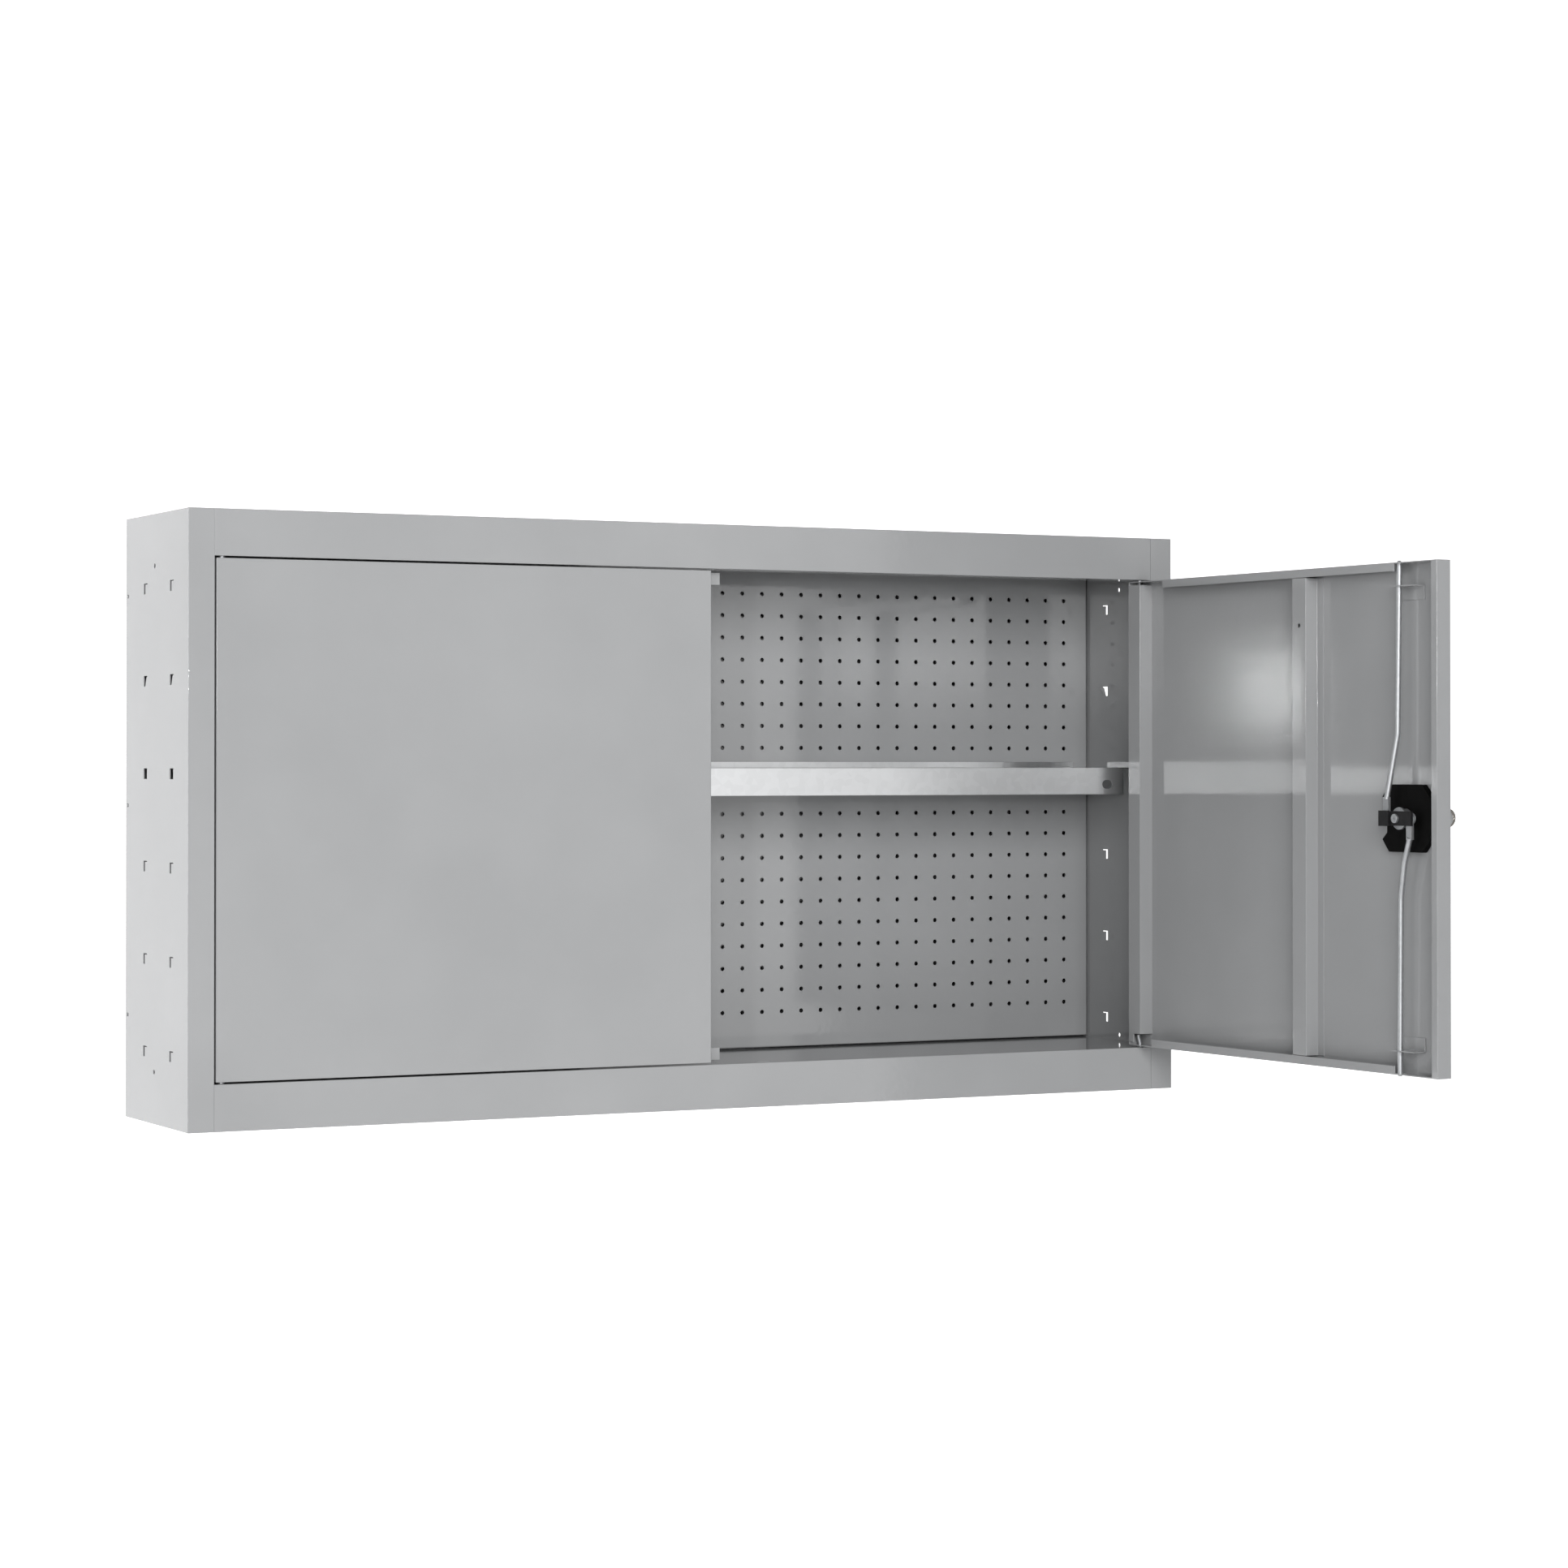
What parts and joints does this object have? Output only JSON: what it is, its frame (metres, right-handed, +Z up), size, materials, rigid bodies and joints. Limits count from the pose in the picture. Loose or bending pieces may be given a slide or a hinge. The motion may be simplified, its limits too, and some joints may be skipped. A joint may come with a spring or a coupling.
{
  "type": "wall-mounted tool cabinet",
  "caption": "Wall-hung steel tool cabinet with two hinged doors, a perforated back panel, a galvanised shelf and a turning handle that locks with a rod up and a rod down.",
  "frame": {"origin": "middle of the wall plane: the centre of the four wall holes on the cabinet's back", "axes": "+X to the right seen from the front, +Y to the wall, +Z up; the doors are at -Y"},
  "size_m": [1.2179, 0.7485, 0.63],
  "materials": {
    "grey_paint": "glossy powder coat with a fine orange peel",
    "galvanised_sheet": "galvanised, satin",
    "zinc": "bright zinc plate",
    "black_plastic": "moulded, matt",
    "black_paint": "black lacquer, semi-matt",
    "bright_metal": "nickel plate"
  },
  "bodies": {
    "cabinet": {"left_side": "grey_paint", "right_side": "grey_paint", "top_panel": "grey_paint", "bottom_panel": "grey_paint", "back_sheet": "grey_paint", "perforated_panel": "grey_paint", "side_rivets": "grey_paint", "left_top_hinge_pin": "zinc", "right_top_hinge_pin": "zinc", "hinge_washers": "zinc"},
    "shelf": {"shelf": "galvanised_sheet"},
    "left_door": {"left_door_panel": "grey_paint", "left_door_stiffener": "grey_paint", "left_door_stop_tabs": "grey_paint", "left_bottom_hinge_pin": "zinc"},
    "right_door": {"right_door_panel": "grey_paint", "right_door_stiffener": "grey_paint", "rod_guides": "grey_paint", "lock_plate": "black_plastic", "lock_barrel": "zinc", "lock_nut": "zinc", "handle_rosette": "grey_paint", "right_bottom_hinge_pin": "zinc"},
    "handle": {"handle": "grey_paint", "lock_spindle": "zinc", "cam": "black_paint", "cam_screw": "zinc", "cam_rivets": "zinc", "rod_washer": "zinc"},
    "top_rod": {"top_rod": "zinc"},
    "bottom_rod": {"bottom_rod": "zinc"},
    "key": {"cylinder_plug": "bright_metal", "key": "bright_metal"}
  },
  "joints": [
    {"name": "left_door_hinge", "type": "hinge", "parent": "cabinet", "child": "left_door", "pos_m": [-0.5475, -0.202, 0], "axis": [0, 0, 1], "range_deg": [-100, 0]},
    {"name": "right_door_hinge", "type": "hinge", "parent": "cabinet", "child": "right_door", "pos_m": [0.5475, -0.202, 0], "axis": [0, 0, 1], "range_deg": [-92.3, 7.7]},
    {"name": "handle_turn", "type": "hinge", "parent": "right_door", "child": "handle", "pos_m": [0.5749, -0.68479, 0], "axis": [0.9992, 0.0401, 0], "range_deg": [0, 90]},
    {"name": "top_rod_pivot", "type": "hinge", "parent": "handle", "child": "top_rod", "pos_m": [0.55473, -0.66859, 0], "axis": [0.9992, 0.0401, 0], "range_deg": [-94, 0]},
    {"name": "bottom_rod_pivot", "type": "hinge", "parent": "handle", "child": "bottom_rod", "pos_m": [0.55939, -0.70243, 0], "axis": [0.9992, 0.0401, 0], "range_deg": [-94, 0]},
    {"name": "key_turn", "type": "hinge", "parent": "handle", "child": "key", "pos_m": [0.5749, -0.68479, 0], "axis": [0.9992, 0.0401, 0], "range_deg": [0, 90]},
    {"name": "shelf_lift", "type": "slide", "parent": "cabinet", "child": "shelf", "axis": [0, 0, 1], "range_m": [0, 0.03]}
  ],
  "couplings": [
    {"joint": "top_rod_pivot", "follows": "handle_turn", "ratio": -1.041},
    {"joint": "bottom_rod_pivot", "follows": "handle_turn", "ratio": -1.041}
  ]
}
